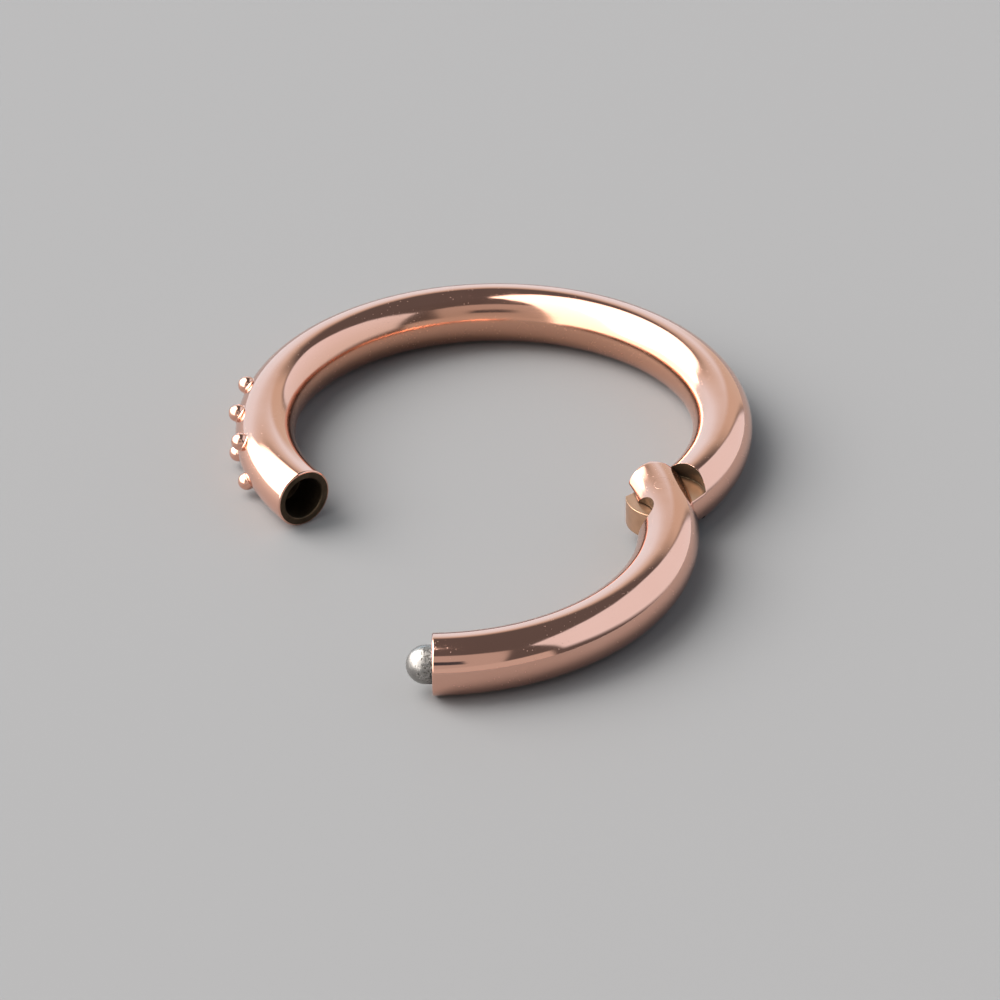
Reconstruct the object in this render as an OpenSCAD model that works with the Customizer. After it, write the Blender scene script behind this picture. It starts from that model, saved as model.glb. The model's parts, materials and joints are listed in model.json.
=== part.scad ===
// Hinged clicker ring of round wire, lying on its side with its gate swung open.
// Millimetres. The ring's circle lies in the XY plane, its centre is the origin, and +Z is up.
// Angles round the ring are counted from +X, counter-clockwise as seen from above.

/* [Ring] */
// Clear diameter inside the closed ring
inner_d = 8; // [7.5:0.5:10]
// Diameter of the round wire, 16 gauge
wire_d = 1.2; // [1.15:0.05:1.3]
// Angle round the ring of the fixed arc's latch end
latch_angle = 215; // [205:1:225]
// Gap that stays between the two end faces when the ring is closed
end_gap = 0.03; // [0.02:0.01:0.06]

/* [Hinge] */
// Angle round the ring of the hinge pin's axis
hinge_angle = -44; // [-55:1:-35]
// Turn of the gate from closed to the pose shown
gate_open = 54.5; // [40:0.5:70]
// Thickness of the tongue on the fixed arc
tongue_t = 0.54; // [0.44:0.01:0.56]
// Radius of the tongue's round end about the pin
tongue_r = 0.74; // [0.68:0.01:0.75]
// Clearance between the tongue and each ear of the gate
slot_clear = 0.02; // [0.01:0.01:0.04]
// Radius of the ears' round end about the pin
ear_r = 0.83; // [0.8:0.01:0.95]
// Radius of the slot's root about the pin
slot_r = 0.8; // [0.78:0.01:0.84]
// Radius of the round relief across the gate's inner side, beside its ears
relief_r = 0.5; // [0.4:0.01:0.52]
// Distance of the relief's axis from the pin, along the gate
relief_along = 0.5; // [0.45:0.01:0.6]
// Distance of the relief's axis from the middle of the wire, towards the ring's centre
relief_in = 0.81; // [0.78:0.01:0.9]
// Clearance between the ears' round end and the scooped shoulder
ear_clear = 0.03; // [0.02:0.01:0.05]
// Diameter of the hinge pin
pin_d = 0.4; // [0.3:0.05:0.5]
// Clearance on the radius between the pin and the tongue's hole
pin_clear = 0.02; // [0.02:0.01:0.04]
// Clearance on the radius between the pin and the ears' holes
pin_seat_clear = 0.01; // [0.01:0.005:0.015]

/* [Latch] */
// Diameter of the nub in the gate's free end
nub_d = 0.75; // [0.65:0.01:0.78]
// Length of the nub that stands out of the gate
nub_reach = 0.5; // [0.45:0.01:0.55]
// Length of the nub that is pressed into the gate
nub_root = 0.6; // [0.5:0.05:0.7]
// Clearance on the radius between the nub and its hole in the gate
nub_seat_clear = 0.01; // [0.01:0.005:0.015]
// Diameter of the socket in the fixed arc's end
socket_d = 0.86; // [0.84:0.01:0.9]
// Depth of the socket
socket_depth = 0.75; // [0.65:0.05:0.8]
// Chamfer at the socket's mouth
socket_chamfer = 0.03; // [0.02:0.01:0.04]

/* [Beads] */
// Diameter of each bead soldered to the outside of the fixed arc
bead_d = 0.36; // [0.3:0.01:0.4]
// Distance of a bead's centre from the middle of the wire
bead_stand = 0.63; // [0.6:0.01:0.7]
// Angle of each row above or below the ring's middle plane, round the wire
bead_tilt = 28; // [24:1:34]
// Angle round the ring between the beads of a row
bead_pitch = 12.4; // [11:0.1:13]
// Angle round the ring of the upper row's first bead
bead_start = 165.7; // [160:0.1:170]

/* [Hidden] */
$fn = 64;
wire_r = wire_d / 2;
ring_r = inner_d / 2 + wire_r;
pin_r = pin_d / 2;
nub_r = nub_d / 2;
socket_r = socket_d / 2;
// Round holes are cut this much longer than the metal that they pass through
overcut = 0.1;
// Half the size of the blocks that trim the wire round the hinge
trim = 1.5 * wire_d;
slot_h = tongue_t + 2 * slot_clear;
// Angles round the ring that leave enough wire past the pin for each round end
tongue_past = asin((tongue_r + overcut) / ring_r);
ear_past = asin((ear_r + overcut) / ring_r);
gate_end_angle = latch_angle - 360 + asin(end_gap / ring_r);
pin_pos = [ring_r * cos(hinge_angle), ring_r * sin(hinge_angle), 0];
// One entry for each row of beads: side of the middle plane, first angle, number of beads
BEAD_ROWS = [
    [1, bead_start, 3],
    [-1, bead_start + 1.5 * bead_pitch, 2]
];
rose_gold = "#d9a08c";
steel = "#9a9b9e";

// Round wire bent to the ring's circle between two angles
module wire(from, to)
{
    rotate([0, 0, from])
        rotate_extrude(angle = to - from)
            translate([ring_r, 0])
                circle(d = wire_d);
}

// Frame on the wire's middle: X points out of the ring and Y along it, to larger angles
module on_wire(angle)
{
    rotate([0, 0, angle])
        translate([ring_r, 0, 0])
            children();
}

// Frame in a cut end, with Z along the wire towards smaller angles
module in_end(angle)
{
    on_wire(angle)
        rotate([90, 0, 0])
            children();
}

// Turns the gate about the pin, from closed to the pose shown
module swung()
{
    translate(pin_pos)
        rotate([0, 0, gate_open])
            translate(-pin_pos)
                children();
}

// Block that holds the half of the hinge towards larger (side 1) or smaller (side -1) angles
module half_block(side, height)
{
    translate([0, side * trim / 2, 0])
        cube([2 * trim, trim, height], center = true);
}

// Small ball-shaped beads in two staggered rows on the outside of the fixed arc
module beads()
{
    for (row = BEAD_ROWS)
        for (i = [0 : row[2] - 1])
            on_wire(row[1] + i * bead_pitch)
                rotate([0, -row[0] * bead_tilt, 0])
                    translate([bead_stand, 0, 0])
                        sphere(d = bead_d);
}

// Fixed arc: a tongue about the pin at one end, a round socket at the other
module ring_arc()
{
    color(rose_gold)
        difference() {
            union() {
                wire(hinge_angle - tongue_past, latch_angle);
                beads();
            }
            // Scooped shoulder, above and below the tongue, that the ears turn in
            on_wire(hinge_angle)
                for (side = [-1, 1])
                    translate([0, 0, side * (tongue_t + wire_d) / 2])
                        cylinder(r = ear_r + ear_clear, h = wire_d, center = true);
            // Round end of the tongue
            on_wire(hinge_angle)
                difference() {
                    half_block(-1, 2 * wire_d);
                    cylinder(r = tongue_r, h = 3 * wire_d, center = true);
                }
            // Running hole for the pin
            on_wire(hinge_angle)
                cylinder(r = pin_r + pin_clear, h = 2 * wire_d, center = true);
            // Socket for the nub, with a chamfered mouth
            in_end(latch_angle) {
                translate([0, 0, -overcut])
                    cylinder(r = socket_r, h = socket_depth + overcut);
                cylinder(r1 = socket_r + socket_chamfer, r2 = socket_r, h = socket_chamfer);
            }
        }
}

// Hinged arc: two ears about the pin at one end, the nub's hole at the other
module gate_arc()
{
    color(rose_gold)
        swung()
            difference() {
                wire(gate_end_angle, hinge_angle + ear_past);
                // Round end of the ears
                on_wire(hinge_angle)
                    difference() {
                        half_block(1, 2 * wire_d);
                        cylinder(r = ear_r, h = 3 * wire_d, center = true);
                    }
                // Slot between the ears, with a round root about the pin
                on_wire(hinge_angle) {
                    half_block(1, slot_h);
                    cylinder(r = slot_r, h = slot_h, center = true);
                }
                // Round relief across the inner side, beside the ears
                on_wire(hinge_angle)
                    translate([-relief_in, -relief_along, 0])
                        cylinder(r = relief_r, h = 2 * wire_d, center = true);
                // Holes in the ears for the pin
                on_wire(hinge_angle)
                    cylinder(r = pin_r + pin_seat_clear, h = 2 * wire_d, center = true);
                // Hole that the nub is pressed into
                in_end(gate_end_angle)
                    translate([0, 0, -nub_root - nub_seat_clear])
                        cylinder(r = nub_r + nub_seat_clear, h = nub_root + nub_seat_clear + overcut);
            }
}

// Pin riveted into both ears, its ends polished flush with the round wire
module hinge_pin()
{
    color(rose_gold)
        swung()
            intersection() {
                wire(hinge_angle - tongue_past, hinge_angle + tongue_past);
                on_wire(hinge_angle)
                    cylinder(r = pin_r, h = 2 * wire_d, center = true);
            }
}

// Steel nub with a ball nose that snaps into the socket
module latch_nub()
{
    color(steel)
        swung()
            in_end(gate_end_angle) {
                translate([0, 0, -nub_root])
                    cylinder(r = nub_r, h = nub_root + nub_reach - nub_r);
                translate([0, 0, nub_reach - nub_r])
                    sphere(r = nub_r);
            }
}

ring_arc();
gate_arc();
hinge_pin();
latch_nub();
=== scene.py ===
import json
import math

import bmesh
import bpy
from mathutils import Matrix, Vector


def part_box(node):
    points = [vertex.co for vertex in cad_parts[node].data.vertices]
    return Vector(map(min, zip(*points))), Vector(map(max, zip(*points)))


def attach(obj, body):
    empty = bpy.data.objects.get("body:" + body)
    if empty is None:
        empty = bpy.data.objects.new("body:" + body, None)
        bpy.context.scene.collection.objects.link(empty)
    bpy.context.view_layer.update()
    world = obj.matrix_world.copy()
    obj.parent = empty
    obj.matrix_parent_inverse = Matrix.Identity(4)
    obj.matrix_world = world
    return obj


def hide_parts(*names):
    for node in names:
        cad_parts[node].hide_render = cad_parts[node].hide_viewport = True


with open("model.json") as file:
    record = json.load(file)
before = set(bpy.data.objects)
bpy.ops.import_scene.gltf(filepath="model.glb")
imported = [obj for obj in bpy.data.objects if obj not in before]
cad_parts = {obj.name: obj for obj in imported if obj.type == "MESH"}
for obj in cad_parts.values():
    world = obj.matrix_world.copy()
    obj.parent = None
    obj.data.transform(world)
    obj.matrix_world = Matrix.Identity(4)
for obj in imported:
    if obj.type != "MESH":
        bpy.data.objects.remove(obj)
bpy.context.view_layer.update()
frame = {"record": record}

# Fixed arc
# Three quarters of a ring of round surgical-steel wire, plated rose gold and polished. One end is
# milled to a flat tongue with a scooped shoulder for the hinge, the other is drilled as a socket,
# and five small balls are soldered to its outside. Sizes are in millimetres.

MM = 0.001
low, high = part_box("ring_arc")
WIRE_R = (high[2] - low[2]) / 2 / MM
RING_R = high[1] / MM - WIRE_R
joint = frame["record"]["behaviour"]["joints"][0]
PIN = Vector(joint["pos_m"]) / MM
HINGE = math.atan2(PIN.y, PIN.x)
LATCH = math.radians(215)
TONGUE_T = 0.54
TONGUE_R = 0.74
SHOULDER_R = 0.86
TONGUE_HOLE_R = 0.22
SOCKET_R = 0.43
SOCKET_DEPTH = 0.75
SOCKET_CHAMFER = 0.03
# Rounded rim of a cut end, the plain ring of faces just behind it, and the flat before its hole
END_RIM = 0.035
RIM_SIDE = 0.04
RIM_FLAT = 0.006
BROKEN_EDGE = 0.015
# Steps of the grid across the wire at the hinge: past the square round the pin's hole, and in it
PAST_STEPS = 8
SQUARE_STEPS = 16
# Steps of the wire's outer side, and of a small round
SIDE_STEPS = 12
SMALL_STEPS = 5
# From this far past the pin on, the hinge no longer shapes the rows of faces
HINGE_CLEAR = math.radians(15)
# Steps along the fixed arc: from the shoulder to there, and from there to the socket's end
SHOULDER_STEPS = 14
ARC_STEPS = 196
# Places along the wire are counted from here, in the ring's opening
SEAM = math.radians(-95)


def spread(first, last, steps):
    """steps + 1 values, evenly from first to last."""
    return [first + (last - first) * k / steps for k in range(steps + 1)]


def on_ring(angle, out, up):
    """Point at an angle round the ring, out from the middle of the wire and up from it."""
    return Vector(((RING_R + out) * math.cos(angle), (RING_R + out) * math.sin(angle), up))


def skin(angle, phi):
    """Point on the round wire, phi round its section from the outside over the top."""
    return on_ring(angle, WIRE_R * math.cos(phi), WIRE_R * math.sin(phi))


def from_pin(out, radius):
    """Angle round the ring between the pin and a point out from the wire's middle, radius away."""
    far = RING_R + out
    return math.acos((far**2 + RING_R**2 - radius**2) / (2 * far * RING_R))


# Material slots of a face
POLISHED, MILLED, SATIN = 0, 1, 2


def patch(mesh, rows, finish=POLISHED):
    """Four-sided faces between rows of points."""
    made = [[mesh.verts.new(point) for point in row] for row in rows]
    for near, far in zip(made, made[1:]):
        for a, b, c, d in zip(near, near[1:], far[1:], far):
            mesh.faces.new((a, b, c, d)).material_index = finish


def rows_round(half_height):
    """Section angles of the wire's outer side, and those that arch over from there to its inner side."""
    edge = math.asin(half_height / WIRE_R)
    arch_steps = 2 * PAST_STEPS + SQUARE_STEPS
    return spread(-edge, edge, SIDE_STEPS), spread(edge, math.pi - edge, arch_steps)


def pierced(mesh, arch, sign, start, end, hole_r, height=None, finish=POLISHED):
    """A sheet across the wire with the pin's hole in it: on the wire's skin, or flat at a height.
    start and end give the sheet's ends, as angles from the pin, for a distance out."""
    outs = [WIRE_R * math.cos(phi) for phi in arch]
    half = outs[PAST_STEPS] / RING_R

    def point(angle, out):
        up = math.sqrt(WIRE_R**2 - out**2) if height is None else height
        return on_ring(angle, out, sign * up)

    rows = []
    for out in outs:
        angles = spread(HINGE + start(out), HINGE - half, PAST_STEPS)
        angles += spread(HINGE - half, HINGE + half, SQUARE_STEPS)[1:]
        angles += spread(HINGE + half, HINGE + end(out), PAST_STEPS)[1:]
        rows.append([point(angle, out) for angle in angles])
    first, last = PAST_STEPS, PAST_STEPS + SQUARE_STEPS
    patch(mesh, rows[: first + 1], finish)
    patch(mesh, rows[last:], finish)
    block = rows[first : last + 1]
    patch(mesh, [row[: first + 1] for row in block], finish)
    patch(mesh, [row[last:] for row in block], finish)
    square = block[0][first : last + 1] + [row[last] for row in block[1:]]
    square += block[-1][first:last][::-1] + [row[first] for row in block[:-1]][::-1]
    rings = []
    for share in spread(0, 1, SMALL_STEPS):
        ring = []
        for corner in square:
            away = (corner - PIN).to_2d()
            place = PIN.to_2d() + away.normalized() * hole_r * (1 - share) + away * share
            ring.append(point(math.atan2(place.y, place.x), place.length - RING_R))
        rings.append(ring)
    patch(mesh, rings, finish)
    return rings[0]


def end_face(mesh, rows, angle, inward, profile):
    """The cut end of a wire, turned about its middle: its rounded rim, then a profile of radii
    and depths. inward is 1 where the wire runs to larger angles from here, and -1 otherwise."""
    centre = on_ring(angle, 0, 0)
    outward = on_ring(angle, 1, 0) - centre
    along = inward * Vector((-math.sin(angle), math.cos(angle), 0))
    rim = [
        (WIRE_R - END_RIM * (1 - math.cos(t)), END_RIM * (1 - math.sin(t)))
        for t in spread(0, math.pi / 2, SMALL_STEPS)[1:]
    ]
    polished = []
    milled = []
    for phi in rows:
        arm = outward * math.cos(phi) + Vector((0, 0, math.sin(phi)))
        first = skin(angle + inward * END_RIM / RING_R, phi)
        polished.append([first] + [centre + arm * r + along * d for r, d in rim])
        milled.append([centre + arm * r + along * d for r, d in rim[-1:] + profile])
    patch(mesh, polished)
    patch(mesh, milled, MILLED)


def weld(mesh):
    """Joins the patches of a mesh where their points meet, and drops edges of no length."""
    meeting = 2e-5
    no_length = 1e-6
    bmesh.ops.remove_doubles(mesh, verts=mesh.verts, dist=meeting)
    bmesh.ops.dissolve_degenerate(mesh, edges=mesh.edges, dist=no_length)
    bmesh.ops.recalc_face_normals(mesh, faces=mesh.faces)


def break_edges(mesh):
    """Rounds the mesh's sharp edges a little, except those of the pin's holes. An edge is sharp from
    an angle in radians on, and a hole's is near the pin's axis."""
    sharp_from = 0.6
    near_pin = 0.25
    sharp = [e for e in mesh.edges if len(e.link_faces) == 2 and e.calc_face_angle() > sharp_from]
    bmesh.ops.bevel(
        mesh,
        geom=[e for e in sharp if any((v.co - PIN).to_2d().length > near_pin for v in e.verts)],
        offset=BROKEN_EDGE,
        offset_type="OFFSET",
        segments=3,
        profile=0.5,
        affect="EDGES",
        clamp_overlap=True,
        material=-1,
    )


def piece(mesh, name, centre=None):
    """Turns a mesh in millimetres into an object in metres, smooth shaded. Where it is bent wire
    round a centre, each point keeps its place on the wire, for the marks of polishing."""
    data = bpy.data.meshes.new(name)
    mesh.to_mesh(data)
    mesh.free()
    if centre is not None:
        place = data.attributes.new("wire_place", "FLOAT_VECTOR", "POINT")
        for vertex, value in zip(data.vertices, place.data):
            arm = vertex.co - centre
            angle = (math.atan2(arm.y, arm.x) - SEAM) % (2 * math.pi)
            value.vector = (arm.to_2d().length - RING_R, arm.z, angle * RING_R)
    data.transform(Matrix.Scale(MM, 4))
    data.shade_smooth()
    data.set_sharp_from_angle(angle=math.radians(35))
    made = bpy.data.objects.new(name, data)
    bpy.context.collection.objects.link(made)
    return made


side, arch = rows_round(TONGUE_T / 2)
all_round = side + arch[1:]
all_round += [math.pi + phi for phi in all_round[1:]]
arc = bmesh.new()
arc_clear = HINGE + HINGE_CLEAR
rows = []
for phi in all_round:
    start = HINGE + from_pin(WIRE_R * math.cos(phi), SHOULDER_R)
    angles = spread(start, arc_clear, SHOULDER_STEPS)
    angles += spread(arc_clear, LATCH - RIM_SIDE / RING_R, ARC_STEPS)[1:]
    rows.append([skin(angle, phi) for angle in angles + [LATCH - END_RIM / RING_R]])
patch(arc, rows)
# Tongue: its two round sides, its round end, its flat faces and the hole for the pin
for turn in (0, math.pi):
    rows = []
    for phi in side:
        out = WIRE_R * math.cos(phi + turn)
        half = WIRE_R * math.cos(arch[PAST_STEPS]) / RING_R
        angles = spread(-from_pin(out, TONGUE_R), -half, PAST_STEPS)
        angles += spread(-half, half, SQUARE_STEPS)[1:]
        angles += spread(half, from_pin(out, SHOULDER_R), PAST_STEPS)[1:]
        rows.append([skin(HINGE + angle, phi + turn) for angle in angles])
    patch(arc, rows)
rows = []
for phi in side:
    outs = [WIRE_R * math.cos(phi) * math.cos(p) / math.cos(arch[0]) for p in arch]
    up = WIRE_R * math.sin(phi)
    rows.append([on_ring(HINGE - from_pin(out, TONGUE_R), out, up) for out in outs])
patch(arc, rows, SATIN)
holes = [
    pierced(
        arc,
        arch,
        sign,
        lambda out: -from_pin(out, TONGUE_R),
        lambda out: from_pin(out, SHOULDER_R),
        TONGUE_HOLE_R,
        TONGUE_T / 2,
        SATIN,
    )
    for sign in (1, -1)
]
patch(arc, holes, MILLED)
# Scooped shoulder
for sign in (1, -1):
    rows = []
    for phi in arch:
        out = WIRE_R * math.cos(phi)
        ups = spread(TONGUE_T / 2, WIRE_R * math.sin(phi), 4)
        rows.append([on_ring(HINGE + from_pin(out, SHOULDER_R), out, sign * up) for up in ups])
    patch(arc, rows, MILLED)
# Socket: a flat face, a rounded mouth, the bore and its blind end, as radii and depths
bore = [(WIRE_R - END_RIM - RIM_FLAT, 0), (SOCKET_R + SOCKET_CHAMFER + RIM_FLAT, 0)]
bore += [
    (SOCKET_R + SOCKET_CHAMFER * (1 - math.sin(t)), SOCKET_CHAMFER * (1 - math.cos(t)))
    for t in spread(0, math.pi / 2, SMALL_STEPS)
]
bore += [(SOCKET_R, depth) for depth in spread(0.1, SOCKET_DEPTH - 0.05, 6)]
bore += [(SOCKET_R - 0.01, SOCKET_DEPTH - 0.01), (SOCKET_R - 0.05, SOCKET_DEPTH), (0, SOCKET_DEPTH)]
end_face(arc, all_round, LATCH, -1, bore)
weld(arc)
break_edges(arc)
# Soldered balls: two staggered rows, each ball with a small collar of solder at its foot
BEAD_R = 0.18
BEAD_STAND = 0.63
BEAD_TILT = math.radians(28)
BEAD_PITCH = 12.4
BEAD_START = 165.7
SOLDER_R = 0.03


def solder_ball(mesh, angle, tilt):
    """A ball on the wire's outside, with its collar of solder, closed off inside the wire."""
    middle = on_ring(angle, 0, 0)
    along = Vector((-math.sin(angle), math.cos(angle), 0))
    axis = (on_ring(angle, 1, 0) - middle) * math.cos(tilt) + Vector((0, 0, math.sin(tilt)))
    across = axis.cross(along)
    # Middle of the collar's hollow, as distance from the ball's axis and height, beside the ball
    # along the wire and across it
    far = BEAD_R + SOLDER_R
    up_along = WIRE_R + SOLDER_R
    up_across = (up_along**2 + BEAD_STAND**2 - far**2) / (2 * BEAD_STAND)
    beside = math.sqrt(far**2 - (BEAD_STAND - up_along) ** 2)
    beside_across = math.sqrt(up_along**2 - up_across**2)
    rows = []
    for turn in spread(0, 2 * math.pi, 32):
        arm = along * math.cos(turn) + across * math.sin(turn)
        share = math.sin(turn) ** 2
        hollow = Vector((beside, up_along)).lerp(Vector((beside_across, up_across)), share)
        to_ball = Vector((0, BEAD_STAND)) - hollow
        to_wire = Vector((-hollow.x * share, -hollow.y))
        foot = math.atan2(-to_ball.x, -to_ball.y)
        line = [
            Vector((BEAD_R * math.sin(t), BEAD_STAND + BEAD_R * math.cos(t)))
            for t in spread(0, foot, 14)
        ]
        for t in spread(0, 1, SMALL_STEPS)[1:]:
            line.append(hollow + to_ball.slerp(to_wire, t).normalized() * SOLDER_R)
        # Just under the wire's skin, then the ball's lowest point
        line += [line[-1] * 0.98, Vector((0, BEAD_STAND - BEAD_R))]
        rows.append([middle + arm * point.x + axis * point.y for point in line])
    patch(mesh, rows)


balls = bmesh.new()
for row_side, first, count in ((1, BEAD_START, 3), (-1, BEAD_START + 1.5 * BEAD_PITCH, 2)):
    for k in range(count):
        solder_ball(balls, math.radians(first + k * BEAD_PITCH), row_side * BEAD_TILT)
weld(balls)
# Joined in a fresh mesh, so that every run gives the faces in the same order
soldered = bmesh.new()
for part in (arc, balls):
    held = bpy.data.meshes.new("part")
    part.to_mesh(held)
    part.free()
    soldered.from_mesh(held)
    bpy.data.meshes.remove(held)
ring_arc = piece(soldered, "fixed_arc", Vector((0, 0, 0)))


def colour(code):
    """An sRGB hex colour as the linear one that Blender takes."""
    parts = [int(code[k : k + 2], 16) / 255 for k in (1, 3, 5)]
    return tuple(c / 12.92 if c <= 0.04045 else ((c + 0.055) / 1.055) ** 2.4 for c in parts) + (1,)


def node(tree, kind, inputs=None, **settings):
    """Adds a node with its settings, and sets or links its inputs."""
    made = tree.nodes.new(kind)
    for name, value in settings.items():
        setattr(made, name, value)
    for socket, value in (inputs or {}).items():
        if isinstance(value, bpy.types.NodeSocket):
            tree.links.new(value, made.inputs[socket])
        else:
            made.inputs[socket].default_value = value
    return made


def bare_material(name):
    """A new material with no nodes in it, and its tree."""
    made = bpy.data.materials.new(name)
    made.use_nodes = True
    made.node_tree.nodes.clear()
    return made, made.node_tree


# Rose-gold plating on steel, polished on a wheel: a clear mirror with a warm pink tint, whose
# reflections are only a little soft, with faint hairlines along the wire where the wheel ran and
# a few tiny pits that catch the light.
rose_gold, tree = bare_material("polished_rose_gold_plate")
place = node(tree, "ShaderNodeAttribute", attribute_name="wire_place").outputs["Vector"]
# The plating's tint drifts over a few millimetres
drift = node(tree, "ShaderNodeTexNoise", {"Vector": place, "Scale": 0.45, "Detail": 2.0})
tint = node(
    tree,
    "ShaderNodeMix",
    {"Factor": drift.outputs["Fac"], "A": colour("#e6b6a3"), "B": colour("#dfa893")},
    data_type="RGBA",
)
# Wheel marks up to 2 mm long. At 0.03 mm apart they are coarser than the real ones, to show at all.
marks_at = node(tree, "ShaderNodeVectorMath", {0: place, 1: (33.0, 33.0, 0.5)}, operation="MULTIPLY")
marks = node(
    tree, "ShaderNodeTexNoise", {"Vector": marks_at.outputs[0], "Scale": 1.0, "Detail": 3.0}
)
# Hand smudges, half a millimetre across, only in the roughness
smudge = node(tree, "ShaderNodeTexNoise", {"Vector": place, "Scale": 2.0, "Detail": 3.0})
soft = node(
    tree,
    "ShaderNodeMapRange",
    {
        "Value": smudge.outputs["Fac"],
        "From Min": 0.35,
        "From Max": 0.75,
        "To Min": 0.03,
        "To Max": 0.08,
    },
)
rough = node(
    tree,
    "ShaderNodeMath",
    {0: marks.outputs["Fac"], 1: 0.05, 2: soft.outputs[0]},
    operation="MULTIPLY_ADD",
)
# The ring's inner side, from 0.3 mm inside the middle of the wire, is made duller and a deeper
# copper, which darkens it
across = node(tree, "ShaderNodeSeparateXYZ", {"Vector": place})
inner = node(
    tree,
    "ShaderNodeMapRange",
    {"Value": across.outputs["X"], "From Min": -0.55, "From Max": -0.3, "To Min": 1.0, "To Max": 0.0},
)
duller = node(
    tree,
    "ShaderNodeMath",
    {0: inner.outputs[0], 1: 0.1, 2: rough.outputs[0]},
    operation="MULTIPLY_ADD",
)
deeper = node(
    tree,
    "ShaderNodeMix",
    {"Factor": inner.outputs[0], "A": tint.outputs[2], "B": colour("#d29d84")},
    data_type="RGBA",
)
# Pits 0.02 mm across, as small as still shows, and just under a tenth of a millimetre apart, in
# patches
pit_at = node(tree, "ShaderNodeTexVoronoi", {"Vector": place, "Scale": 13.0})
pit = node(
    tree,
    "ShaderNodeMapRange",
    {
        "Value": pit_at.outputs["Distance"],
        "From Min": 0.06,
        "From Max": 0.16,
        "To Min": 1.0,
        "To Max": 0.0,
    },
)
patch_of = node(tree, "ShaderNodeTexNoise", {"Vector": place, "Scale": 1.3, "Detail": 2.0})
pitted = node(
    tree, "ShaderNodeMapRange", {"Value": patch_of.outputs["Fac"], "From Min": 0.42, "From Max": 0.54}
)
pits = node(tree, "ShaderNodeMath", {0: pit.outputs[0], 1: pitted.outputs[0]}, operation="MULTIPLY")
dull = node(
    tree,
    "ShaderNodeMath",
    {0: pits.outputs[0], 1: 0.35, 2: duller.outputs[0]},
    operation="MULTIPLY_ADD",
)
# The wheel leaves the wire a few thousandths of a millimetre uneven, over half a millimetre
uneven = node(tree, "ShaderNodeTexNoise", {"Vector": place, "Scale": 1.6, "Detail": 1.0})
wave = node(
    tree,
    "ShaderNodeBump",
    {"Height": uneven.outputs["Fac"], "Strength": 0.6, "Distance": 0.004 * MM},
)
brushed = node(
    tree,
    "ShaderNodeBump",
    {"Height": marks.outputs["Fac"], "Strength": 0.6, "Distance": 0.0004 * MM, "Normal": wave.outputs[0]},
)
sunk = node(
    tree,
    "ShaderNodeBump",
    {"Height": pits.outputs[0], "Strength": 0.4, "Distance": -0.0015 * MM, "Normal": brushed.outputs[0]},
)
metal = node(
    tree,
    "ShaderNodeBsdfPrincipled",
    {
        "Base Color": deeper.outputs[2],
        "Metallic": 1.0,
        "Roughness": dull.outputs[0],
        "Normal": sunk.outputs[0],
    },
)
node(tree, "ShaderNodeOutputMaterial", {"Surface": metal.outputs[0]})
ring_arc.data.materials.append(rose_gold)

# The same plating inside the socket and the hinge, where no wheel reaches: thin and matt over the
# cutter's marks, and dark: partly with the polishing paste that stays in there, partly painted shade, as
# its dark colour stands in for the shade inside the bore, the slot and the hollows of the hinge.
milled, tree = bare_material("as_milled_rose_gold_plate")
place = node(tree, "ShaderNodeAttribute", attribute_name="wire_place").outputs["Vector"]
# Paste lies in blotches a few tenths of a millimetre across
paste = node(tree, "ShaderNodeTexNoise", {"Vector": place, "Scale": 4.0, "Detail": 4.0})
# Two dark colours: partly paste, partly painted shade for the socket's bore and the hinge's hollows
paste_and_painted_shade = node(
    tree,
    "ShaderNodeMix",
    {"Factor": paste.outputs["Fac"], "A": colour("#605242"), "B": colour("#1c1712")},
    data_type="RGBA",
)
matt = node(
    tree,
    "ShaderNodeMapRange",
    {
        "Value": paste.outputs["Fac"],
        "From Min": 0.3,
        "From Max": 0.7,
        "To Min": 0.45,
        "To Max": 0.65,
    },
)
# Cutter marks, drawn 0.04 mm apart, coarser than the real ones, to show at all
cuts = node(tree, "ShaderNodeTexNoise", {"Vector": place, "Scale": 25.0, "Detail": 2.0})
scored = node(
    tree, "ShaderNodeBump", {"Height": cuts.outputs["Fac"], "Strength": 0.5, "Distance": 0.004 * MM}
)
metal = node(
    tree,
    "ShaderNodeBsdfPrincipled",
    {
        "Base Color": paste_and_painted_shade.outputs[2],
        "Metallic": 1.0,
        "Roughness": matt.outputs[0],
        "Normal": scored.outputs[0],
    },
)
node(tree, "ShaderNodeOutputMaterial", {"Surface": metal.outputs[0]})
ring_arc.data.materials.append(milled)

# The faces of the tongue and the ears that run on each other: plated over a fine mill, rubbed
# satin, greyer where the plating has worn thin, and darker in the corner under the scooped shoulder:
# painted shade where the shoulder shades it, with some polishing paste.
satin, tree = bare_material("rubbed_rose_gold_plate")
place = node(tree, "ShaderNodeAttribute", attribute_name="wire_place").outputs["Vector"]
# Wear in patches a third of a millimetre across
wear = node(tree, "ShaderNodeTexNoise", {"Vector": place, "Scale": 3.0, "Detail": 3.0})
copper = node(
    tree,
    "ShaderNodeMix",
    {"Factor": wear.outputs["Fac"], "A": colour("#d6ab8e"), "B": colour("#ab8468")},
    data_type="RGBA",
)
# Painted shade in the corner under the scooped shoulder, which shades the tongue there, with some
# polishing paste, from 0.77 mm off the pin's middle
pin_at = (0, 0, (HINGE - SEAM) * RING_R)
off_pin = node(tree, "ShaderNodeVectorMath", {0: place, 1: pin_at}, operation="DISTANCE")
corner = node(
    tree,
    "ShaderNodeMapRange",
    {"Value": off_pin.outputs["Value"], "From Min": 0.77, "From Max": 0.89},
    interpolation_type="SMOOTHSTEP",
)
# The painted shade of the corner, mixed into the copper
corner_shaded = node(
    tree,
    "ShaderNodeMix",
    {"Factor": corner.outputs[0], "A": copper.outputs[2], "B": colour("#4a3d2e")},
    data_type="RGBA",
)
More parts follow.
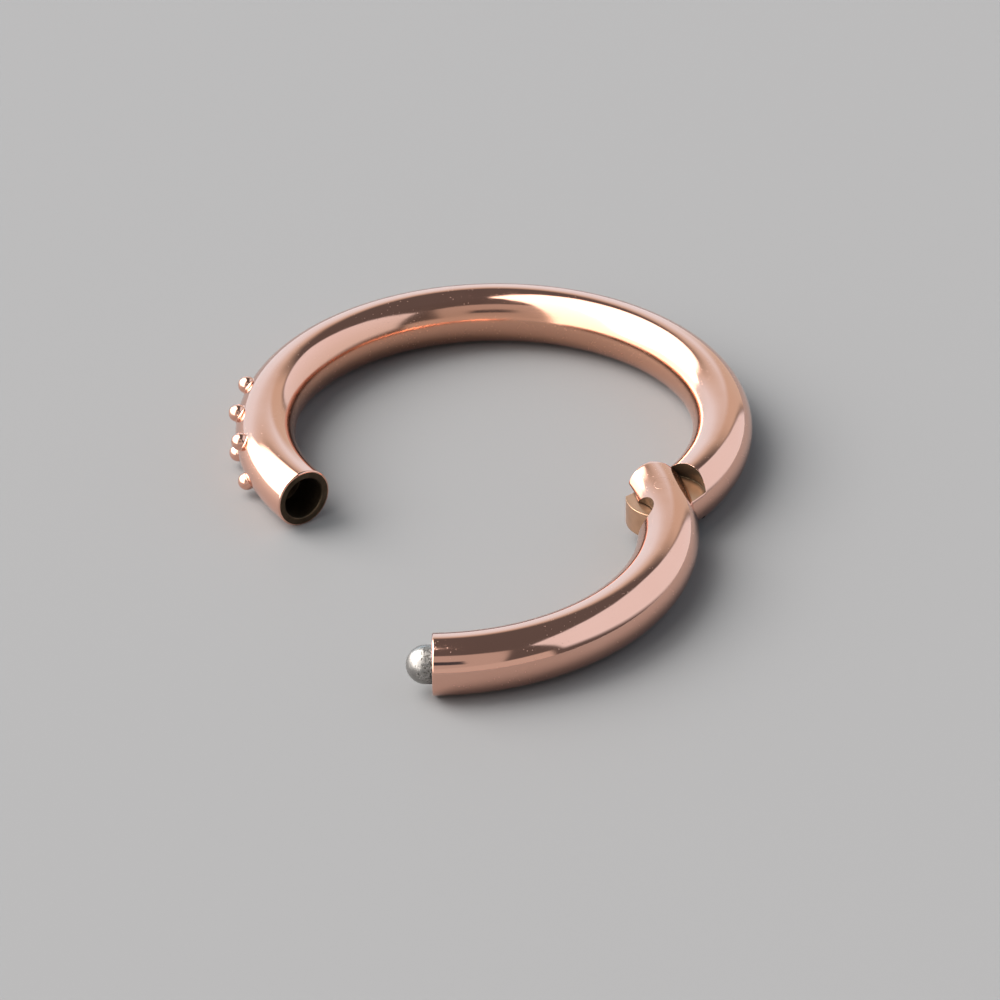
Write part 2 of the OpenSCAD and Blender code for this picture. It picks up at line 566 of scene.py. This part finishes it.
# Mill marks, drawn 0.03 mm apart, coarser than the real ones, to show at all
mill = node(tree, "ShaderNodeTexNoise", {"Vector": place, "Scale": 33.0, "Detail": 2.0})
milling = node(
    tree, "ShaderNodeBump", {"Height": mill.outputs["Fac"], "Strength": 0.4, "Distance": 0.002 * MM}
)
metal = node(
    tree,
    "ShaderNodeBsdfPrincipled",
    {
        "Base Color": corner_shaded.outputs[2],
        "Metallic": 1.0,
        "Roughness": 0.32,
        "Normal": milling.outputs[0],
    },
)
node(tree, "ShaderNodeOutputMaterial", {"Surface": metal.outputs[0]})
ring_arc.data.materials.append(satin)

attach(ring_arc, "ring")
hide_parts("ring_arc")

# Gate
# The hinged quarter of the same wire. Its hinge end is slotted into two round-ended ears that take
# the tongue between them, and its free end is drilled for the latch nub.

GATE_OPEN = -math.radians(joint["range_deg"][0])
GATE_STEPS = 72
END_GAP = 0.03
SLOT_H = 0.58
SLOT_R = 0.8
EAR_R = 0.83
EAR_HOLE_R = 0.21
NUB_R = 0.375
NUB_ROOT = 0.6
NUB_SEAT = 0.01
SEAT_MOUTH = 0.012
RELIEF_R = 0.5
RELIEF_ALONG = 0.5
RELIEF_IN = 0.81


def hollowed(mesh, middle, radius):
    """Mills a round hollow across a mesh with an upright cutter."""
    cutter = bmesh.new()
    bmesh.ops.create_cone(
        cutter,
        cap_ends=True,
        segments=120,
        radius1=radius,
        radius2=radius,
        depth=4 * WIRE_R,
        matrix=Matrix.Translation(middle),
    )
    for face in cutter.faces:
        face.material_index = MILLED
    held = []
    for name, source in (("blank", mesh), ("cutter", cutter)):
        data = bpy.data.meshes.new(name)
        source.to_mesh(data)
        source.free()
        held.append(bpy.data.objects.new(name, data))
        bpy.context.collection.objects.link(held[-1])
    blank, tool = held
    cut = blank.modifiers.new("hollow", "BOOLEAN")
    cut.operation = "DIFFERENCE"
    cut.solver = "EXACT"
    cut.object = tool
    result = bmesh.new()
    result.from_object(blank, bpy.context.evaluated_depsgraph_get())
    for made in held:
        bpy.data.meshes.remove(made.data)
    # The cut leaves points in the middle of straight edges, which would fold into slivers
    between = [v for v in result.verts if len(v.link_edges) == 2]
    bmesh.ops.dissolve_verts(result, verts=between)
    return result


def swing(mesh):
    """Turns a mesh that is built closed to the pose at rest."""
    bmesh.ops.rotate(mesh, cent=PIN, matrix=Matrix.Rotation(GATE_OPEN, 3, "Z"), verts=mesh.verts)


side, arch = rows_round(SLOT_H / 2)
all_round = side + arch[1:]
all_round += [math.pi + phi for phi in all_round[1:]]
gate_end = LATCH - 2 * math.pi + END_GAP / RING_R
gate_clear = HINGE - HINGE_CLEAR
gate = bmesh.new()
from_end = [gate_end + END_RIM / RING_R]
from_end += spread(gate_end + RIM_SIDE / RING_R, gate_clear, GATE_STEPS)
for turn in (0, math.pi):
    rows = []
    for phi in side:
        root = HINGE - from_pin(WIRE_R * math.cos(phi + turn), SLOT_R)
        angles = from_end + spread(gate_clear, root, PAST_STEPS)[1:]
        rows.append([skin(angle, phi + turn) for angle in angles])
    patch(gate, rows)
# On the skin the slot's root runs straight from edge to edge
edge_out = WIRE_R * math.cos(arch[0])
roots = spread(-from_pin(edge_out, SLOT_R), -from_pin(-edge_out, SLOT_R), len(arch) - 1)
root_at = {round(WIRE_R * math.cos(phi), 9): root for phi, root in zip(arch, roots)}


def ear_end(out):
    """Angle from the pin of the ears' round end, for a point out from the wire's middle."""
    return from_pin(out, EAR_R)


for sign in (1, -1):
    rows = []
    for phi, root in zip(arch, roots):
        angles = from_end + spread(gate_clear, HINGE + root, PAST_STEPS)[1:]
        rows.append([skin(angle, sign * phi) for angle in angles])
    patch(gate, rows)
    # Ear: its outer skin, its flat underside, the hole between them and its round end
    outer = pierced(gate, arch, sign, lambda out: root_at[round(out, 9)], ear_end, EAR_HOLE_R)
    under = pierced(
        gate, arch, sign, lambda out: -from_pin(out, SLOT_R), ear_end, EAR_HOLE_R, SLOT_H / 2, SATIN
    )
    patch(gate, [outer, under], MILLED)
    rows = []
    for phi in arch:
        out = WIRE_R * math.cos(phi)
        ups = spread(SLOT_H / 2, WIRE_R * math.sin(phi), 4)
        rows.append([on_ring(HINGE + from_pin(out, EAR_R), out, sign * up) for up in ups])
    patch(gate, rows)
# Root of the slot
rows = []
for phi in side:
    outs = [WIRE_R * math.cos(phi) * math.cos(p) / math.cos(arch[0]) for p in arch]
    up = WIRE_R * math.sin(phi)
    rows.append([on_ring(HINGE - from_pin(out, SLOT_R), out, up) for out in outs])
patch(gate, rows, MILLED)
seat_r = NUB_R + NUB_SEAT
seat = [(WIRE_R - END_RIM - RIM_FLAT, 0), (seat_r + SEAT_MOUTH, 0)]
seat += [(seat_r + SEAT_MOUTH / 4, SEAT_MOUTH / 4), (seat_r, SEAT_MOUTH)]
seat += [(seat_r, depth) for depth in spread(0.1, NUB_ROOT + NUB_SEAT, 5)] + [(0, NUB_ROOT + NUB_SEAT)]
end_face(gate, all_round, gate_end, 1, seat)
weld(gate)
break_edges(gate)
# The relief beside the ears, milled after the edges are broken
relief = on_ring(HINGE, -RELIEF_IN, 0) + Vector((math.sin(HINGE), -math.cos(HINGE), 0)) * RELIEF_ALONG
gate = hollowed(gate, relief, RELIEF_R)
swing(gate)
gate_centre = PIN - Matrix.Rotation(GATE_OPEN, 3, "Z") @ PIN
gate_arc = piece(gate, "gate", gate_centre)
gate_arc.data.materials.append(rose_gold)
gate_arc.data.materials.append(milled)
gate_arc.data.materials.append(satin)

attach(gate_arc, "gate")
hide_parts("gate_arc")

# Hinge pin
# A steel pin riveted through both ears, then ground and polished with the wire, so that its ends
# follow the wire's round and show as a hairline ring.

PIN_R = 0.2
PIN_EDGE = 0.001
# The riveting spreads each end until it fills its hole
RIVET_R = EAR_HOLE_R - PIN_EDGE
RIVET_DEPTH = 0.05

pin = bmesh.new()
rows = []
for turn in spread(0, 2 * math.pi, 48):
    arm = Vector((math.cos(turn), math.sin(turn), 0))
    row = []
    steps = [(radius, 0) for radius in spread(0, RIVET_R - PIN_EDGE, 6)]
    steps += [(RIVET_R, PIN_EDGE), (RIVET_R, RIVET_DEPTH / 2), (PIN_R, RIVET_DEPTH)]
    for radius, drop in steps:
        place = PIN + arm * radius
        out = place.to_2d().length - RING_R
        row.append(place + Vector((0, 0, math.sqrt(WIRE_R**2 - out**2) - drop)))
    rows.append(row + [Vector((p.x, p.y, -p.z)) for p in reversed(row)])
patch(pin, rows)
weld(pin)
swing(pin)
hinge_pin = piece(pin, "riveted_pin", gate_centre)
hinge_pin.data.materials.append(rose_gold)

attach(hinge_pin, "gate")
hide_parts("hinge_pin")

# Latch nub
# A bare steel peg with a ball nose, turned on a lathe and pressed into the gate's free end. It is
# left satin, and the socket has rubbed it.

NUB_REACH = 0.5
NUB_BEVEL = 0.02

nub = bmesh.new()
centre = on_ring(gate_end, 0, 0)
outward = on_ring(gate_end, 1, 0) - centre
along = Vector((-math.sin(gate_end), math.cos(gate_end), 0))
nose = NUB_REACH - NUB_R
profile = [(0, -NUB_ROOT), (NUB_R - NUB_BEVEL, -NUB_ROOT), (NUB_R, NUB_BEVEL - NUB_ROOT)]
profile += [(NUB_R, depth) for depth in spread(0.1 - NUB_ROOT, nose, 12)]
profile += [(NUB_R * math.cos(t), nose + NUB_R * math.sin(t)) for t in spread(0, math.pi / 2, 20)[1:]]
rows = []
for phi in spread(0, 2 * math.pi, 72):
    arm = outward * math.cos(phi) + Vector((0, 0, math.sin(phi)))
    rows.append([centre + arm * radius - along * reach for radius, reach in profile])
patch(nub, rows)
weld(nub)
swing(nub)
latch_nub = piece(nub, "ball_nosed_nub")

# Surgical steel as it comes off the lathe and out of a tumbler: grey and satin, with fine rings
# round it that catch the light in a soft streak, and brighter rubs from the socket.
steel, tree = bare_material("satin_surgical_steel")
place = node(tree, "ShaderNodeTexCoord").outputs["Object"]
# Turning marks run round the nub's axis, as it points in the pose at rest. They are drawn 0.025 mm
# apart, coarser than the real ones, to show at all.
spin = Matrix.Rotation(GATE_OPEN, 3, "Z") @ along
turned = node(tree, "ShaderNodeVectorMath", {0: place, 1: tuple(spin)}, operation="DOT_PRODUCT")
rings = node(
    tree,
    "ShaderNodeTexNoise",
    {"W": turned.outputs["Value"], "Scale": 40.0 / MM, "Detail": 2.0},
    noise_dimensions="1D",
)
# Rubs and tumbling dents, a tenth of a millimetre across
rubs = node(tree, "ShaderNodeTexNoise", {"Vector": place, "Scale": 8.0 / MM, "Detail": 4.0})
grey = node(
    tree,
    "ShaderNodeMix",
    {"Factor": rubs.outputs["Fac"], "A": colour("#6f6c6a"), "B": colour("#b3afab")},
    data_type="RGBA",
)
worn = node(
    tree,
    "ShaderNodeMapRange",
    {"Value": rubs.outputs["Fac"], "From Min": 0.3, "From Max": 0.7, "To Min": 0.38, "To Max": 0.22},
)
# Pocks 0.03 mm across, dark inside with dirt and painted shade: deep ones on the shoulder next to the
# gate, where they also paint the gate's shade on the nub, few past its end
SHOULDER_END = 0.35
face_at = (PIN + Matrix.Rotation(GATE_OPEN, 3, "Z") @ (centre - PIN)).dot(spin)
shoulder = node(
    tree,
    "ShaderNodeMapRange",
    {
        "Value": turned.outputs["Value"],
        "From Min": (face_at - SHOULDER_END) * MM,
        "From Max": face_at * MM,
        "To Min": 0.12,
        "To Max": -0.04,
    },
)
pocks = node(tree, "ShaderNodeTexNoise", {"Vector": place, "Scale": 30.0 / MM, "Detail": 2.0})
pock_at = node(tree, "ShaderNodeMath", {0: pocks.outputs["Fac"], 1: shoulder.outputs[0]}, operation="ADD")
pock = node(
    tree, "ShaderNodeMapRange", {"Value": pock_at.outputs[0], "From Min": 0.36, "From Max": 0.48}
)
# Dark in the pocks: dirt, and painted shade in them and next to the gate
pock_dirt_and_shade = node(
    tree,
    "ShaderNodeMix",
    {"Factor": pock.outputs[0], "A": colour("#4a4643"), "B": grey.outputs[2]},
    data_type="RGBA",
)
dents = node(
    tree, "ShaderNodeBump", {"Height": rubs.outputs["Fac"], "Strength": 0.8, "Distance": 0.01 * MM}
)
pocked = node(
    tree,
    "ShaderNodeBump",
    {"Height": pock.outputs[0], "Strength": 1.0, "Distance": 0.008 * MM, "Normal": dents.outputs[0]},
)
grooves = node(
    tree,
    "ShaderNodeBump",
    {"Height": rings.outputs["Fac"], "Strength": 0.4, "Distance": 0.002 * MM, "Normal": pocked.outputs[0]},
)
metal = node(
    tree,
    "ShaderNodeBsdfPrincipled",
    {
        "Base Color": pock_dirt_and_shade.outputs[2],
        "Metallic": 1.0,
        "Roughness": worn.outputs[0],
        "Normal": grooves.outputs[0],
    },
)
node(tree, "ShaderNodeOutputMaterial", {"Surface": metal.outputs[0]})
latch_nub.data.materials.append(steel)

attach(latch_nub, "gate")
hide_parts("latch_nub")

# Floor
# A wide sheet of pale board that the ring lies on: uncoated paper, pressed smooth. Its size is in
# metres.

FLOOR_SIZE = 3.0
board = bmesh.new()
bmesh.ops.create_grid(board, x_segments=1, y_segments=1, size=FLOOR_SIZE / 2)
bmesh.ops.translate(board, verts=board.verts, vec=(0, 0, low[2]))
floor_data = bpy.data.meshes.new("floor")
board.to_mesh(floor_data)
board.free()
floor = bpy.data.objects.new("floor", floor_data)
bpy.context.collection.objects.link(floor)
# Uncoated paper board is neutral and matt, with a trace of sheen where it is seen at a slant
paper, tree = bare_material("matt_white_board")
matt = node(
    tree,
    "ShaderNodeBsdfPrincipled",
    {"Base Color": colour("#767677"), "Roughness": 0.55, "Specular IOR Level": 0.08},
)
node(tree, "ShaderNodeOutputMaterial", {"Surface": matt.outputs[0]})
floor_data.materials.append(paper)

# Light
# A plain room of soft light: a big softbox on the left, pale windows ahead and on the right, and a
# dim wall behind the camera. Each panel is bounded by straight edges, and an edge is the plane
# through the ring that it lies in, given by that plane's normal.

world = bpy.data.worlds.new("light_tent")
bpy.context.scene.world = world
world.use_nodes = True
tree = world.node_tree
tree.nodes.clear()
towards = node(tree, "ShaderNodeTexCoord").outputs["Generated"]


def bearing(azimuth, elevation=0):
    """Direction at an azimuth to the right of straight away, and an elevation, in degrees."""
    turn, rise = math.radians(azimuth), math.radians(elevation)
    return Vector((math.sin(turn) * math.cos(rise), math.cos(turn) * math.cos(rise), math.sin(rise)))


def lit(code, strength):
    """The colour of a panel of light, as strong as given."""
    return tuple(c * strength for c in colour(code)[:3]) + (1,)


def panel(edges, blur, glow, behind):
    """Puts a panel of light in front of what is behind it, with edges that are a little blurred:
    more so where the edge's normal is shorter than 1."""
    shape = 1.0
    for normal in edges:
        inside = node(
            tree,
            "ShaderNodeVectorMath",
            {0: towards, 1: tuple(normal)},
            operation="DOT_PRODUCT",
        )
        step = node(
            tree,
            "ShaderNodeMapRange",
            {"Value": inside.outputs["Value"], "From Min": -blur, "From Max": blur},
            interpolation_type="SMOOTHSTEP",
        )
        shape = node(
            tree, "ShaderNodeMath", {0: shape, 1: step.outputs[0]}, operation="MULTIPLY"
        ).outputs[0]
    mixed = node(tree, "ShaderNodeMix", {"Factor": shape, "A": behind, "B": glow}, data_type="RGBA")
    return mixed.outputs[2]


def sides(left, right):
    """Edges of a panel between two azimuths that are less than 180 degrees apart."""
    return [bearing(left + 90), bearing(right - 90)]


# The room's own dim light
light = lit("#fbfbff", 0.15)
# The wall behind the camera, up to 62 degrees high, one side of it leaning
side_edge = Vector((-0.891, -0.408, 0.196))
top_edge = Vector((0, -0.88, -0.47))
light = panel([side_edge, bearing(127), top_edge], 0.03, lit("#fffdfb", 0.6), light)
# The wall is brighter low down, up to a slanting edge
top_edge = Vector((0.232, -0.252, -0.94))
light = panel(sides(131, 217) + [top_edge], 0.03, lit("#fffdfb", 0.7), light)
# The camera in front of the wall, from 28 to 40 degrees high
foot_edge = Vector((0, 0.47, 0.88))
top_edge = Vector((0, -0.64, -0.77))
light = panel(sides(167, 193) + [foot_edge, top_edge], 0.02, lit("#8890a0", 0.3), light)
# The windows straight ahead, 38 and 30 degrees high, the lower one brighter and bluer
top_edge = Vector((0, 0.62, -0.78)) * 0.5
light = panel(sides(-60, 32) + [top_edge], 0.05, lit("#fffbee", 0.76), light)
top_edge = Vector((0, 0.5, -0.866)) * 0.5
light = panel(sides(-60, 12) + [top_edge], 0.08, lit("#d9efff", 1.45), light)
# The window on the right, from about the horizon to 59 degrees high
foot_edge = Vector((-0.102, 0.28, 0.955)) * 0.25
top_edge = Vector((0.859, 0.008, -0.512))
light = panel(sides(34, 126) + [top_edge, foot_edge], 0.025, lit("#e6f3ff", 1.28), light)
# The softbox, whose upper part reaches further to the right, above a leaning edge
softbox = lit("#fffcf8", 3.4)
light = panel(sides(-147, -43), 0.03, softbox, light)
foot_edge = Vector((-0.263, -0.679, 0.684))
light = panel(sides(-147, -14) + [foot_edge], 0.03, softbox, light)
# The lamp in the softbox, from 20 to 66 degrees high
foot_edge = bearing(-74, 20 + 90)
top_edge = -bearing(-74, 66 + 90)
light = panel(sides(-105, -43) + [foot_edge, top_edge], 0.08, lit("#fffcf8", 13), light)
glow = node(tree, "ShaderNodeBackground", {"Color": light})
node(tree, "ShaderNodeOutputWorld", {"Surface": glow.outputs[0]})

# Camera
# A macro lens 12 cm away, looking down at 31 degrees from straight in front of the ring.

CAMERA_FAR = 120 * MM
CAMERA_UP = 31.2
CAMERA_ROLL = 0.7
IMAGE_WIDTH = 1000
PIXELS_PER_MM = 49.7
# The middle of the picture, as pixels right of the ring's centre and down from it
AIM_RIGHT, AIM_DOWN = 5.1, 73.3

back = -bearing(0, -CAMERA_UP)
rise = bearing(0, 90 - CAMERA_UP)
target = (Vector((AIM_RIGHT, 0, 0)) - rise * AIM_DOWN) / PIXELS_PER_MM * MM
lens = bpy.data.cameras.new("camera")
lens.sensor_width = 36
lens.lens = lens.sensor_width * PIXELS_PER_MM * CAMERA_FAR / MM / IMAGE_WIDTH
lens.clip_start = 0.01
lens.clip_end = 10
camera = bpy.data.objects.new("camera", lens)
bpy.context.collection.objects.link(camera)
looking = (target - back * CAMERA_FAR).to_track_quat("-Z", "Y").to_matrix()
turn = looking @ Matrix.Rotation(-math.radians(CAMERA_ROLL), 3, "Z")
camera.matrix_world = Matrix.Translation(back * CAMERA_FAR) @ turn.to_4x4()
bpy.context.scene.camera = camera
# Plain sRGB, in which the softbox's reflections burn out to white
bpy.context.scene.view_settings.view_transform = "Standard"
